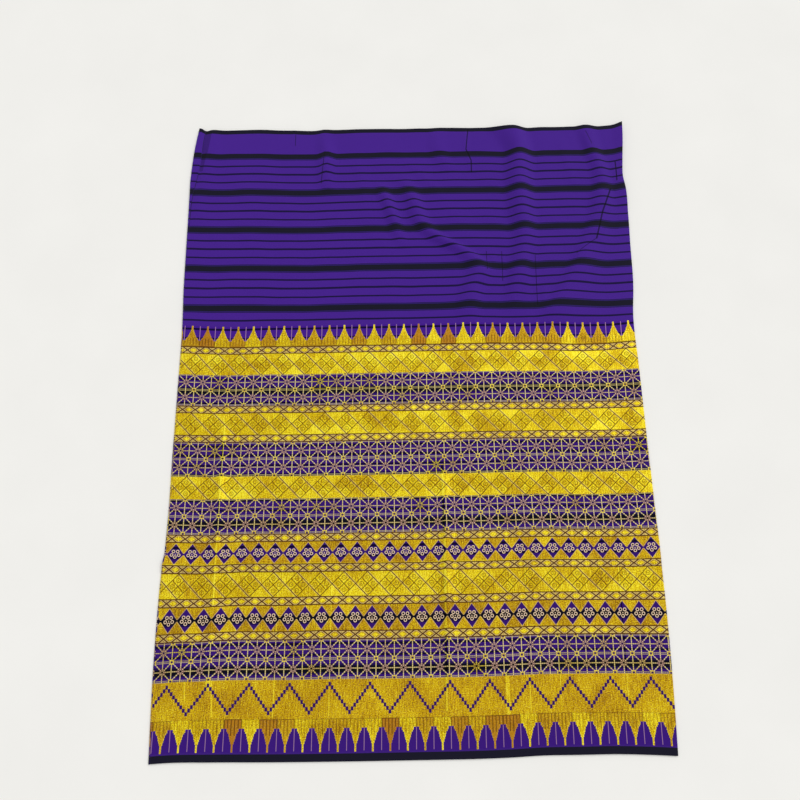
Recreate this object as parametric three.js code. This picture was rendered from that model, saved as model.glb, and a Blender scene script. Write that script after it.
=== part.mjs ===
// Tube skirt of heavy woven cloth, laid flat in two layers on a table.
// Units are millimetres. +X runs across the skirt, +Y towards its waist
// edge and +Z up. The origin is below the middle of the laid skirt.

import * as THREE from 'three';

const CLOTH = 1.2;                       // thickness of the cloth
const LAYER_GAP = 1.2;                   // air between front and back layer
const FOLD_OUTER = CLOTH + LAYER_GAP / 2; // outside radius of the side folds
const FOLD_INNER = LAYER_GAP / 2;         // inside radius of the side folds
const FOLD_ANGLES = [45, 90, 135];        // degrees round each side fold

// The two side folds. Columns: y, x of the left fold, x of the right fold.
const SIDES = [
  [575, -421, 431],
  [545, -426, 430],
  [485, -430, 425],
  [455, -431, 423],
  [425, -430, 426],
  [370, -429, 426],
  [325, -427, 425],
  [225, -425, 422],
  [165, -423, 418],
  [70, -423, 421],
  [-80, -422, 425],
  [-230, -421, 429],
  [-270, -420, 430],
  [-284, -424, 430],
  [-350, -425, 431],
  [-440, -423, 431],
  [-580, -418, 428],
];

// The two mouths of the tube. Columns: x, y of the waist edge, y of the hem.
const MOUTHS = [
  [-421, 572, -583],
  [-392, 567, -582],
  [-317, 569, -580],
  [-217, 566, -581],
  [-117, 569, -580],
  [8, 571, -578],
  [112, 571, -576],
  [158, 573, -574],
  [213, 573, -571],
  [273, 575, -570],
  [333, 576, -569],
  [383, 577, -570],
  [431, 584, -574],
];

// Ripples that run down the skirt. Each row of a crest has the columns
// y, x, height, width of its left slope, width of its right slope.
const RIPPLES_DOWN = [
  // short ripple left of the middle
  [[535, -164, 0, 20, 22], [515, -164, 6, 20, 22], [475, -164, 6, 20, 22],
    [420, -162, 0, 20, 22]],
  // slanting ripple through the middle
  [[492, -32, 0, 24, 24], [458, -11, 5, 24, 24], [410, 16, 6, 24, 24],
    [378, 21, 6, 24, 26], [335, 61, 7, 26, 28], [298, 118, 7, 30, 28],
    [278, 132, 8, 34, 30], [220, 117, 5, 34, 30], [170, 111, 0, 34, 30]],
  // its shorter neighbour on the left
  [[455, -57, 0, 20, 20], [425, -47, 5, 20, 20], [355, -25, 5, 20, 20],
    [310, -12, 0, 20, 20]],
  // small one at the waist edge
  [[575, 59, 1, 26, 26], [522, 60, 4, 26, 26], [470, 78, 0, 26, 26]],
  // long one right of the middle, from the waist edge
  [[590, 198, 8, 40, 36], [527, 219, 10, 34, 34], [460, 217, 8, 34, 34],
    [330, 222, 6, 32, 32], [235, 204, 5, 30, 30], [170, 195, 0, 30, 30]],
  // strongest one, which slants in from the right fold
  [[590, 355, 4, 26, 30], [527, 366, 6, 24, 26], [470, 379, 6, 24, 26],
    [404, 373, 6, 26, 34], [335, 353, 7, 30, 50], [282, 328, 10, 30, 64],
    [225, 297, 9, 30, 70], [175, 265, 4, 30, 70], [150, 256, 0, 30, 70]],
  // raised stretch of the right fold
  [[590, 435, 5, 30, 30], [470, 430, 6, 30, 30], [390, 429, 0, 30, 30]],
  // creases of the stiff patterned part
  [[-25, -332, 0, 14, 14], [-60, -332, 3, 14, 14], [-345, -332, 3, 14, 14],
    [-510, -332, 2, 14, 14], [-545, -332, 0, 14, 14]],
  [[-110, 63, 0, 14, 14], [-140, 63, 3, 14, 14], [-510, 63, 3, 14, 14],
    [-545, 63, 0, 14, 14]],
  // low swells either side of a shallow hollow near the hem
  [[-290, -385, 0, 38, 40], [-345, -385, 3, 38, 40], [-510, -385, 3, 38, 40],
    [-560, -385, 0, 38, 40]],
  [[-290, -140, 0, 80, 90], [-345, -140, 4, 80, 90], [-510, -130, 3, 80, 90],
    [-560, -130, 0, 80, 90]],
];

// Ripple that runs across the skirt from the left fold.
// Columns: x, y, height, width of the slope to the hem, to the waist.
const RIPPLE_ACROSS = [
  [-430, -275, 4, 20, 20],
  [-150, -275, 3, 20, 20],
  [20, -276, 0, 20, 20],
];

// Where the mesh has its lines: x of the columns between the two side folds,
// and y of the rows from the waist edge to the hem, both at the middle.
const COLUMNS = [
  -395, -346, -332, -318, -275, -224, -185, -164, -143, -100, -60, -35, -12,
  12, 36, 63, 90, 118, 140, 165, 190, 205, 221, 240, 262, 285, 305, 325, 345,
  362, 380, 400, 415,
];
const ROWS = [
  571, 550, 525, 500, 475, 450, 425, 400, 375, 350, 325, 300, 275, 250, 225,
  200, 170, 120, 30, -30, -60, -120, -200, -255, -275, -295, -345, -430,
  -510, -577,
];
const MIDDLE_LEFT = -424;                // side folds halfway down the skirt
const MIDDLE_RIGHT = 426;

// Value of one column of a table at a place between its rows, joined by
// soft curves. The first column of the table holds the places, in order.
function between(table, at, column) {
  const rising = table[0][0] < table[table.length - 1][0];
  const rows = rising ? table : [...table].reverse();
  if (at <= rows[0][0]) return rows[0][column];
  for (let i = 1; i < rows.length; i += 1) {
    const [low, high] = [rows[i - 1], rows[i]];
    if (at <= high[0]) {
      const t = (at - low[0]) / (high[0] - low[0]);
      return low[column] + (high[column] - low[column]) * t * t * (3 - 2 * t);
    }
  }
  return rows[rows.length - 1][column];
}

// Height that one ripple adds at a place: a smooth bump over its crest line.
function bump(crest, along, across) {
  const offset = across - between(crest, along, 1);
  const width = between(crest, along, offset < 0 ? 3 : 4);
  const reach = Math.min(Math.abs(offset) / width, 1);
  return between(crest, along, 2) * (0.5 + 0.5 * Math.cos(Math.PI * reach));
}

// Height of the underside over the table. Where ripples meet, the higher
// one carries the cloth, so most of the underside stays flat on the table.
function lift(x, y) {
  let height = bump(RIPPLE_ACROSS, x, y);
  for (const crest of RIPPLES_DOWN) height = Math.max(height, bump(crest, y, x));
  return height;
}

// Closed section of the tube at one row: first the front layer from left to
// right, the right fold, the back layer and the left fold. radius is half
// the height of the section, outside or inside the cloth.
function section(row, radius) {
  const rowY = ROWS[row];
  const down = (ROWS[0] - rowY) / (ROWS[0] - ROWS[ROWS.length - 1]);
  const left = between(SIDES, rowY, 1) + FOLD_OUTER;
  const right = between(SIDES, rowY, 2) - FOLD_OUTER;
  const stops = [0, ...COLUMNS.map(
    (x) => (x - MIDDLE_LEFT) / (MIDDLE_RIGHT - MIDDLE_LEFT)), 1];

  const point = (x, outward, rise) => {
    const y = THREE.MathUtils.lerp(
      between(MOUTHS, x, 1), between(MOUTHS, x, 2), down);
    return new THREE.Vector3(x + outward, y, lift(x, y) + FOLD_OUTER + rise);
  };
  const layer = (rise) => stops.map(
    (stop) => point(THREE.MathUtils.lerp(left, right, stop), 0, rise));
  const fold = (x, side) => FOLD_ANGLES.map((degrees) => {
    const angle = THREE.MathUtils.degToRad(degrees);
    return point(x, side * radius * Math.sin(angle), radius * Math.cos(angle));
  });

  return [
    ...layer(radius),
    ...fold(right, 1),
    ...layer(-radius).reverse(),
    ...fold(left, -1).reverse(),
  ];
}

// Cloth between the outer and the inner skin of the tube, closed at both
// mouths by the cut edge of the cloth.
function tubeGeometry() {
  const outer = ROWS.map((_, row) => section(row, FOLD_OUTER));
  const inner = ROWS.map((_, row) => section(row, FOLD_INNER));
  const around = outer[0].length;
  const last = ROWS.length - 1;
  const index = [];
  const outerAt = (row, i) => row * around + (i % around);
  const innerAt = (row, i) => (last + 1) * around + outerAt(row, i);
  const quad = (a, b, c, d) => index.push(a, b, c, a, c, d);

  for (let i = 0; i < around; i += 1) {
    for (let row = 0; row < last; row += 1) {
      quad(outerAt(row, i), outerAt(row + 1, i),
        outerAt(row + 1, i + 1), outerAt(row, i + 1));
      quad(innerAt(row, i), innerAt(row, i + 1),
        innerAt(row + 1, i + 1), innerAt(row + 1, i));
    }
    quad(outerAt(0, i), outerAt(0, i + 1), innerAt(0, i + 1), innerAt(0, i));
    quad(outerAt(last, i), innerAt(last, i),
      innerAt(last, i + 1), outerAt(last, i + 1));
  }

  const geometry = new THREE.BufferGeometry();
  geometry.setFromPoints([...outer.flat(), ...inner.flat()]);
  geometry.setIndex(index);
  geometry.computeBoundingBox();
  const { min, max } = geometry.boundingBox;
  geometry.translate(-(min.x + max.x) / 2, -(min.y + max.y) / 2, 0);
  geometry.computeVertexNormals();
  return geometry;
}

// Purple cotton with gold thread, rough and hardly shiny.
const cloth = new THREE.MeshStandardMaterial({
  color: 0x4b2a95, roughness: 0.8, metalness: 0,
});

const skirt = new THREE.Mesh(tubeGeometry(), cloth);
skirt.name = 'tapis_skirt';

const part = new THREE.Group();
part.add(skirt);

export default part;
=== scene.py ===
import math

import bpy
import numpy as np
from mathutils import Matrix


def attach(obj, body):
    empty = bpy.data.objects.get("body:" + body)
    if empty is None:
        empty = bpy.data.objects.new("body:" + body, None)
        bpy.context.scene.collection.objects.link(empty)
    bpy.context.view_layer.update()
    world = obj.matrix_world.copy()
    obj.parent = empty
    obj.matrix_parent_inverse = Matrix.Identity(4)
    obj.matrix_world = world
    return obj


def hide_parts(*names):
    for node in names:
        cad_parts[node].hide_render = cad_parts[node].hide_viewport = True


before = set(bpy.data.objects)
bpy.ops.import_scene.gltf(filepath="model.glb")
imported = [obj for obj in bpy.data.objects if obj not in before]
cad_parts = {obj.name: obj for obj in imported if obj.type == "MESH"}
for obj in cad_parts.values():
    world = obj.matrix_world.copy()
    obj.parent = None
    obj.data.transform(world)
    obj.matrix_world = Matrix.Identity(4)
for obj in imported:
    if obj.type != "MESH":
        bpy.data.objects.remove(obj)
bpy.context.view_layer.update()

# Shape of the skirt
# One length of heavy striped cotton, as wide as the skirt is long, its two selvedges left as
# waist edge and hem. It is sewn into a tube and laid flat, so the front lies on the back and
# both ripple together, in soft waves near the waist and in stiff creases below.

MM = 0.001
CLOTH = 0.9          # thickness, mm
AIR = 0.9            # between front and back, mm
LENGTH = 1154.4      # along the cloth from waist edge to hem, mm
ROUND = 1700.0       # once round the tube, mm
OUTER = CLOTH + AIR / 2
INNER = AIR / 2

# Side folds, mm. Columns: y, x of the left fold, x of the right fold.
SIDES = [
    (575, -422, 431), (545, -426, 430), (485, -431, 425), (455, -432, 423),
    (425, -431, 427), (370, -430, 428), (325, -429, 427), (225, -427, 425),
    (165, -424, 420), (70, -423, 422), (-80, -422, 425), (-230, -421, 429),
    (-262, -422, 430), (-284, -424, 430), (-350, -425, 431), (-440, -424, 431),
    (-580, -419, 428),
]

# Waist edge and hem, mm. Columns: x, y of the waist edge, y of the hem.
MOUTHS = [
    (-421, 571, -584.5), (-392, 569, -582.5), (-317, 570, -581.5), (-217, 568, -581.2),
    (-117, 571, -580.2), (8, 573, -578.2), (112, 575, -576.2), (158, 575, -574.5),
    (213, 573, -571.4), (273, 577, -570.4), (333, 578, -569.4), (383, 578, -570.4),
    (431, 583, -572.4),
]

# Peaks and dip of the waist edge at its corners, mm. Columns: x, half width, height, how far
# down they die away.
CORNERS = [(-419, 4, 3, 20), (-406, 9, -3, 20), (434, 12, 2.5, 30)]

# Ripples down the skirt, mm. Each row of a crest has the columns y, x, height, width of its
# left slope, width of its right slope.
RIPPLES_DOWN = [
    [(580, -170, 1, 20, 22), (540, -168, 4, 20, 22), (515, -164, 6, 20, 22), (475, -164, 6, 20, 22),
     (420, -162, 0, 20, 22)],
    [(470, -12, 0, 24, 24), (435, 2, 3.5, 24, 24), (410, 10, 6, 24, 24), (378, 17, 6, 24, 26),
     (357, 28, 6.5, 24, 28), (335, 50, 7, 26, 28), (298, 112, 7, 30, 28), (278, 130, 8, 34, 30),
     (220, 119, 7, 34, 30), (170, 113, 3, 34, 30), (140, 111, 0, 34, 30)],
    [(455, -57, 0, 20, 20), (425, -47, 5, 20, 20), (355, -25, 5, 20, 20), (310, -12, 0, 20, 20)],
    [(575, 59, 1, 26, 26), (522, 60, 3, 26, 26), (470, 78, 0, 26, 26)],
    [(590, 203, 7, 70, 36), (560, 212, 8.5, 50, 36), (527, 219, 11, 36, 36), (460, 217, 11, 36, 36),
     (395, 219, 10, 34, 34), (330, 222, 7.5, 32, 32), (235, 204, 6, 30, 30), (170, 195, 0, 30, 30)],
    [(590, 355, 4, 26, 30), (527, 366, 6, 24, 26), (470, 379, 6, 24, 26), (404, 373, 6, 26, 34),
     (335, 353, 6, 30, 50), (282, 328, 7, 30, 60), (225, 297, 6, 30, 64), (175, 265, 3, 30, 70),
     (150, 256, 0, 30, 70)],
    [(590, 435, 5, 30, 30), (520, 434, 3.5, 30, 30), (470, 430, 4.5, 30, 30), (390, 429, 0, 30, 30)],
    [(-25, -332, 0, 14, 14), (-60, -332, 2.2, 14, 14), (-345, -332, 2.2, 14, 14),
     (-510, -332, 1.6, 14, 14), (-545, -332, 0, 14, 14)],
    [(-110, 63, 0, 14, 14), (-140, 63, 2, 14, 14), (-510, 63, 2, 14, 14), (-545, 63, 0, 14, 14)],
    [(-290, -385, 0, 38, 40), (-345, -385, 3, 38, 40), (-510, -385, 3, 38, 40), (-560, -385, 0, 38, 40)],
    [(-290, -140, 0, 80, 90), (-345, -140, 4, 80, 90), (-510, -130, 3, 80, 90), (-560, -130, 0, 80, 90)],
]

# Ripple across the skirt, mm. Columns: x, y, height, slope towards hem, slope towards waist.
RIPPLE_ACROSS = [(-430, -275, 4, 20, 20), (-150, -275, 3, 20, 20), (20, -276, 0, 20, 20)]

# Where the rows of the pattern sag towards the hem, mm, with the columns of a ripple down.
SAGS = [
    [(190, -325, 0, 90, 90), (150, -325, 3, 90, 90), (100, -325, 3, 90, 90), (0, -330, 2, 90, 90),
     (-100, -330, 2, 90, 90), (-250, -350, 3, 90, 90), (-450, -400, 3.5, 120, 120),
     (-580, -410, 0, 120, 120)],
    [(190, 320, 0, 110, 110), (150, 320, 5, 110, 110), (50, 310, 3, 110, 110),
     (-150, 320, 3, 110, 110), (-580, 330, 0, 160, 160)],
]

# Lesser ridges and troughs that only the front has, mm. Columns: x and y of one end, x and y
# of the other, half width, height.
FRONT_CREASES = [
    (-340, -300, -178, -526, 16, -0.9), (-405, -274, -40, -276, 12, 0.8),
    (395, 446, 358, 327, 9, 1.2), (160, 304, 160, 260, 8, 1.0), (223, 310, 223, 160, 10, 0.9),
    (255, 237, 255, 195, 8, 0.9), (115, 572, 115, 520, 8, 1.0), (122, 510, 122, 477, 8, 1.0),
    (-228, 570, -228, 535, 7, 0.9), (352, 560, 360, 527, 7, 0.9), (407, 495, 407, 455, 7, 1.0),
    (-24, 520, 70, 420, 12, 0.7), (300, 560, 330, 430, 14, 0.8), (-100, 500, -80, 380, 14, 0.9),
]

# Faint swells all over the cloth. Columns: height in mm, mm to a radian of the wave across, how
# much that sways, and mm to a radian of the sway, of the wave down and of its slant.
SWELLS = [(1.0, 31, 2, 83, 47, 190), (0.7, 11, 3, 61, 29, 97)]
SOFT_FROM = 120          # y above which the soft cotton swells more, mm
SOFT_RUN = 60            # over how many mm it comes to the full height
STIFF_SHARE = 0.25       # share of that height in the stiff patterned part


def between(rows, at, column):
    """One column of a table at places between its rows, on a smooth curve through them."""
    rows = sorted(rows)
    places = np.array([row[0] for row in rows], float)
    values = np.array([row[column] for row in rows], float)
    slopes = np.gradient(values, places)
    at = np.clip(at, places[0], places[-1])
    i = np.clip(np.searchsorted(places, at) - 1, 0, len(rows) - 2)
    span = places[i + 1] - places[i]
    t = (at - places[i]) / span
    rise = values[i + 1] - values[i]
    bend = (1 - t) * slopes[i] - t * slopes[i + 1]
    return values[i] + rise * t * t * (3 - 2 * t) + span * t * (1 - t) * bend


def bump(crest, along, across):
    """Height that one ripple adds: a smooth bump over its crest line."""
    offset = across - between(crest, along, 1)
    width = np.where(offset < 0, between(crest, along, 3), between(crest, along, 4))
    reach = np.minimum(np.abs(offset) / width, 1)
    return np.maximum(between(crest, along, 2), 0) * (0.5 + 0.5 * np.cos(np.pi * reach))


def lift(x, y):
    """Height of the underside over the table. Where ripples meet they run into each other."""
    bumps = [bump(RIPPLE_ACROSS, x, y)] + [bump(crest, y, x) for crest in RIPPLES_DOWN]
    swell = 0
    for rise, across, sway, bend, down, slant in SWELLS:
        wave = np.sin(x / across + sway * np.sin(y / bend)) * np.sin(y / down + x / slant)
        swell += rise * (0.5 + 0.5 * wave)
    soft = np.clip((y - SOFT_FROM) / SOFT_RUN, STIFF_SHARE, 1)
    return sum(b ** 3 for b in bumps) ** (1 / 3) + swell * soft


def corner(x, down):
    """How far the corners of the waist edge stand above or below its line."""
    rises = 0
    for middle, width, rise, reach in CORNERS:
        rises += rise * np.exp(-((x - middle) / width) ** 2 - down / reach)
    return rises


def crease(x, y):
    """Height that the lesser ridges and troughs add to the front. Each starts at a fifth of its
    height, and has all of it a fifth of the way in from its ends."""
    height = 0
    for x0, y0, x1, y1, width, rise in FRONT_CREASES:
        run = np.array([x1 - x0, y1 - y0])
        share = np.clip(((x - x0) * run[0] + (y - y0) * run[1]) / (run @ run), 0, 1)
        gap = np.hypot(x - x0 - share * run[0], y - y0 - share * run[1])
        ends = np.minimum(np.minimum(share, 1 - share) * 4 + 0.2, 1)
        height += rise * ends * np.exp(-(gap / width) ** 2 * 2)
    return height


# Bands of the cloth from the waist edge down, mm. Columns: name, height, place of the first
# motif's middle from the left fold.
BANDS = [
    ("striped cotton", 417, 0),
    ("gold spires up", 40, 18.2),
    ("gold chain", 14, 0.1),
    ("gold lattice", 40, 28.7),
    ("gold net", 58.5, -1.3),
    ("gold chain", 14, 0.1),
    ("gold lattice", 39.2, 28.7),
    ("gold chain", 14, 0.1),
    ("gold net", 60.9, -1.3),
    ("gold lattice", 39.2, 28.7),
    ("gold net", 60, -1.3),
    ("gold chain", 14, 0.1),
    ("gold flowers", 37.2, 19.6),
    ("gold chain", 13.7, 0.1),
    ("gold lattice", 39.8, 28.7),
    ("gold chain", 14.5, 0.1),
    ("gold flowers", 40.4, 18.2),
    ("gold chain", 14.5, 0.1),
    ("gold net", 61.4, -1.3),
    ("gold zigzag", 59, 24.2),
    ("gold spires down", 49, 20.3),
    ("striped cotton", 14.1, 0),
]
# Height that each pattern is drawn for. A band that differs from it is a little drawn in or out.
DRAWN = {
    "striped cotton": 14, "gold spires up": 40, "gold chain": 14, "gold lattice": 40,
    "gold net": 60, "gold flowers": 39, "gold zigzag": 60, "gold spires down": 49,
}
COTTON_STEP = 6.0        # mesh rows in the soft cotton, mm
PATTERN_STEP = 9.0       # and in the stiff patterned part
WAIST_Y = 571            # y of the waist edge, mm
LAID_LENGTH = 1148       # from there to the hem along y
FIRST_COLUMN = -422.0    # x where the pattern's repeats are counted from
SEAM_RUN = 210.0         # how far down the seam meets the left fold
SEAM_HEIGHT = 2.4        # how high the cloth bulges beside the seam, mm
SEAM_BULGE = (13, 28, 42)    # right of the seam, mm over which it rises and falls, and its end
SEAM_LIP = (3, 0.5)          # left of it, mm over which it rises, and its share of the height
SEAM_FADE = 1.25             # share of SEAM_RUN where it is gone, a whole run after it starts to sink
SEAM_DRIFT = 1.2         # how much higher the stripes lie on the seam's far side, mm
SWAY = 0.35              # how far a ripple draws the cloth to the waist, for its height

# How far the seam lies inside the left fold, mm. Columns: down, inside.
SEAM = [(0, 12), (105, 12), (135, 7), (160, 3.2), (200, 2), (230, 1)]

# Cloth that the ripples take up across the front, mm.
TAKEN_UP_WAIST = 12.5
TAKEN_UP_HEM = 7.7
TAKEN_UP_ACROSS = (-260, 340)   # x between which it grows
TAKEN_UP_DOWN = (650, 810)      # places down between which the waist's passes into the hem's

# Places down where the weave's own count, which the stripes follow, is drawn in or out.
WEFT_PLACES = [(0, 0), (50, 50), (400, 396), (LENGTH, LENGTH + 2.5)]

band_tops = np.concatenate([[0], np.cumsum([height for _, height, _ in BANDS])])
row_down, row_band = [], []
for number, (name, height, _) in enumerate(BANDS):
    step = COTTON_STEP if name == "striped cotton" else PATTERN_STEP
    steps = math.ceil(height / step)
    row_down.extend(band_tops[number] + height * np.arange(steps) / steps)
    row_band.extend([number] * steps)
row_down = np.array(row_down + [band_tops[-1]])
row_band = np.array(row_band)
row_share = row_down / band_tops[-1]
row_y = WAIST_Y - LAID_LENGTH * row_share
row_weft = np.interp(row_down, *zip(*WEFT_PLACES))

# Where the mesh has its columns, as shares of the way from the seam to the right fold and back.
# Three stand close together on each of the two long creases of the patterned part.
front_stops = np.unique(np.concatenate([
    [0.004, 0.008, 0.013, 0.02], np.linspace(0, 0.42, 44), np.linspace(0.42, 1, 112),
    0.106 + np.array([-0.006, 0, 0.006]), 0.571 + np.array([-0.004, 0, 0.004]),
]).round(4))
back_stops = np.linspace(1, 0, 104)
strip_stops = np.array([0, 0.4, 0.8])
fold_turns = np.radians([30, 60, 90, 120, 150])


def taken_up(x, down):
    """How much more cloth than x tells lies between the left fold and x."""
    low = np.interp(down, TAKEN_UP_DOWN, (0, 1))
    share = np.interp(x, TAKEN_UP_ACROSS, (0, 1))
    whole = TAKEN_UP_WAIST * (1 - low) + TAKEN_UP_HEM * low
    return whole * share * share * (3 - 2 * share)


def seam_rise(past, down):
    """Height that the cloth bulges on both sides of the seam, which lies in a groove."""
    rise, fall, end = SEAM_BULGE
    right = np.clip(past / rise, 0, 1) * np.clip((end - past) / fall, 0, 1)
    lip, lip_share = SEAM_LIP
    left = np.clip(-past / lip, 0, 1) * lip_share
    fade = np.clip(SEAM_FADE - down / SEAM_RUN, 0, 1)
    bulge = right + left
    return SEAM_HEIGHT * fade * bulge * bulge * (3 - 2 * bulge)


def skirt_skin(radius):
    """Points of one skin of the tube, row by row round it from the seam, and their place round
    the cloth. Radius is half the height of the section, outside or inside the cloth."""
    left = (between(SIDES, row_y, 1) + OUTER)[:, None]
    right = (between(SIDES, row_y, 2) - OUTER)[:, None]
    inset = between(SEAM, row_down, 1)[:, None]
    down = row_down[:, None]
    seam = left + inset
    one = np.ones_like(left)
    turn = fold_turns[None, :]
    x = np.hstack([
        seam + (right - seam) * front_stops,
        right + radius * np.sin(turn) * one,
        left + (right - left) * back_stops,
        left - radius * np.sin(turn) * one,
        left + inset * strip_stops,
    ])
    rise = radius * one * np.hstack([
        np.ones(len(front_stops)), np.cos(fold_turns), -np.ones(len(back_stops)),
        -np.cos(fold_turns), np.ones(len(strip_stops)),
    ])
    share = row_share[:, None]
    y = between(MOUTHS, x, 1) * (1 - share) + between(MOUTHS, x, 2) * share
    height = lift(x, y)
    sag = sum(bump(crest, y, x) for crest in SAGS)
    y += SWAY * height + corner(x, down) - sag
    z = height + OUTER + rise
    front = rise > 0.01
    z += np.where(front, seam_rise(x - seam, down), 0)
    z += np.where(rise > 0.9 * radius, crease(x, y), 0)

    front_x = seam + (right - seam) * front_stops
    right_across = right + taken_up(right, down) - FIRST_COLUMN
    left_across = ROUND + left - FIRST_COLUMN
    across = np.hstack([
        front_x + taken_up(front_x, down) - FIRST_COLUMN,
        right_across + radius * turn,
        left_across + (right_across - left_across) * back_stops,
        left_across + radius * (turn - math.pi),
        left_across + inset * strip_stops,
    ])
    return np.dstack([x, y, z]), across


def skirt_mesh():
    """The tube as one closed mesh. Two UV maps in metres hold each point's own place on the
    cloth: Cloth counts from the fold and the waist edge, Band from a band's first motif."""
    outer, across = skirt_skin(OUTER)
    inner, _ = skirt_skin(INNER)
    rows, around = outer.shape[:2]
    points = np.concatenate([outer.reshape(-1, 3), inner.reshape(-1, 3)])
    middle = (points.min(0) + points.max(0)) / 2
    points -= [middle[0], middle[1], 0]
    across = np.hstack([across, across[:, :1] + ROUND])

    def ring(row, place):
        return np.stack([row, place], 1)

    def vertex(corner, skin):
        return (skin * rows + corner[:, 0]) * around + corner[:, 1] % around

    row, place = np.meshgrid(np.arange(rows - 1), np.arange(around), indexing="ij")
    row, place = row.ravel(), place.ravel()
    quad = [ring(row, place), ring(row + 1, place), ring(row + 1, place + 1), ring(row, place + 1)]
    groups = [(quad, (0, 0, 0, 0), row_band[row]), (quad[::-1], (1, 1, 1, 1), row_band[row])]
    one = np.arange(around)
    top = [ring(one * 0, one), ring(one * 0, one + 1)]
    hem = [ring(one * 0 + rows - 1, one + 1), ring(one * 0 + rows - 1, one)]
    for near, far, band in ((*top, 0), (*hem, len(BANDS) - 1)):
        groups.append(([near, far, far, near], (0, 0, 1, 1), one * 0 + band))

    faces, cloth_uv, band_uv = [], [], []
    firsts = np.array([first for _, _, first in BANDS])
    drawn_out = np.array([DRAWN[name] / height for name, height, _ in BANDS])
    for corners, skins, band in groups:
        faces.append(np.stack([vertex(c, s) for c, s in zip(corners, skins)], 1))
        u = np.stack([across[c[:, 0], c[:, 1]] for c in corners], 1)
        v = np.stack([row_weft[c[:, 0]] for c in corners], 1)
        cloth_uv.append(np.dstack([u, v + SEAM_DRIFT * u / ROUND]))
        v = np.stack([row_down[c[:, 0]] for c in corners], 1) - band_tops[band, None]
        band_uv.append(np.dstack([u - firsts[band, None], v * drawn_out[band, None]]))

    mesh = bpy.data.meshes.new("tapis_skirt_cloth")
    mesh.from_pydata(points * MM, [], np.concatenate(faces))
    for name, uv in (("Cloth", cloth_uv), ("Band", band_uv)):
        places = np.concatenate(uv).reshape(-1) * MM
        mesh.uv_layers.new(name=name).data.foreach_set("uv", places)
    mesh.shade_smooth()
    mesh.set_sharp_from_angle(angle=math.radians(60))
    return mesh, np.concatenate([band for _, _, band in groups]), points[:rows * around:around]


def put(name, data):
    """A new object in the scene."""
    thing = bpy.data.objects.new(name, data)
    bpy.context.scene.collection.objects.link(thing)
    return thing


cloth_mesh, face_band, seam_points = skirt_mesh()
skirt = put("tapis_skirt_cloth", cloth_mesh)


# Dyed ground of the skirt
# Plain-woven cotton dyed purple, with one broad black stripe and three fine dark ones in each
# repeat, and black selvedges. The stripes run on under the gold thread.

BROAD_STRIPE = 10.5                  # mm
STRIPE_REPEAT = 79.9
FIRST_STRIPE = 54.3                  # top of the first broad stripe
# Fine stripes: top and bottom in mm from the top of a repeat. Two more, a hair's breadth, hem
# the broad stripe, and the cloth between is a duller purple.
FINE_STRIPES = [(26.2, 29.4), (42.9, 47.1), (60.9, 64.1)]
HEMMING_STRIPES = [(12.2, 13.4), (76.8, 78.0)]
LAST_STRIPE = 1105.0
WAIST_SELVEDGE = 5.4
HEM_SELVEDGE = 1145.2

MATH = "ShaderNodeMath"
VECTOR = "ShaderNodeVectorMath"
MIX = "ShaderNodeMix"
NOISE = "ShaderNodeTexNoise"
RAMP = "ShaderNodeValToRGB"
GROUP = "ShaderNodeGroup"


def linear(colour):
    """Linear RGBA of an sRGB hex colour."""
    channels = [int(colour[i:i + 2], 16) / 255 for i in (1, 3, 5)]
    return [c / 12.92 if c <= 0.04045 else ((c + 0.055) / 1.055) ** 2.4 for c in channels] + [1]


def add(tree, kind, sockets=None, operation=None, **settings):
    """Adds a node with its settings, and gives each named or numbered input a value or a link."""
    node = tree.nodes.new(kind)
    if operation:
        node.operation = operation
    for name, value in settings.items():
        setattr(node, name, value)
    for place, value in (sockets or {}).items():
        if isinstance(value, bpy.types.Node):
            value = value.outputs[0]
        if isinstance(value, bpy.types.NodeSocket):
            tree.links.new(value, node.inputs[place])
        else:
            node.inputs[place].default_value = value
    return node


def new_group(name, inputs, outputs, kind="ShaderNodeTree"):
    """An empty node group with its sockets, and the outputs of the node that its inputs enter by."""
    tree = bpy.data.node_groups.new(name, kind)
    for label, socket in inputs.items():
        tree.interface.new_socket(label, in_out="INPUT", socket_type="NodeSocket" + socket)
    for label, socket in outputs.items():
        tree.interface.new_socket(label, in_out="OUTPUT", socket_type="NodeSocket" + socket)
    return tree, add(tree, "NodeGroupInput").outputs


def grey(value):
    return (value, value, value, 1)


def set_ramp(node, stops, interpolation="LINEAR"):
    """Gives a colour ramp its stops, pairs of a place and a colour."""
    ramp = node.color_ramp
    ramp.interpolation = interpolation
    while len(ramp.elements) < len(stops):
        ramp.elements.new(1)
    for element, (place, colour) in zip(ramp.elements, stops):
        element.position = place
        element.color = colour
    return node


PURPLE = linear("#441C8B")
DULL_PURPLE = linear("#2A1862")
FINE_DARK = linear("#14063A")
HEM_PURPLE = linear("#3A1878")
BLACK = linear("#110F22")

ground_cloth, given = new_group("Striped ground", {"Down": "Float"}, {"Colour": "Color"})
repeat = add(ground_cloth, MATH, {0: given["Down"], 1: FIRST_STRIPE}, "SUBTRACT")
repeat = add(ground_cloth, MATH, {0: repeat, 1: STRIPE_REPEAT}, "FLOORED_MODULO")
repeat = add(ground_cloth, MATH, {0: repeat, 1: STRIPE_REPEAT}, "DIVIDE")
(first_hem, first_end), (last_hem, last_end) = HEMMING_STRIPES
stops = [(0, BLACK), (BROAD_STRIPE, DULL_PURPLE), (first_hem, FINE_DARK), (first_end, PURPLE)]
for top, bottom in FINE_STRIPES:
    stops += [(top, FINE_DARK), (bottom, PURPLE)]
stops += [(last_hem, FINE_DARK), (last_end, DULL_PURPLE)]
stops = [(place / STRIPE_REPEAT, colour) for place, colour in stops]
stripes = set_ramp(add(ground_cloth, RAMP, {0: repeat}), stops, "CONSTANT")
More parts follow.
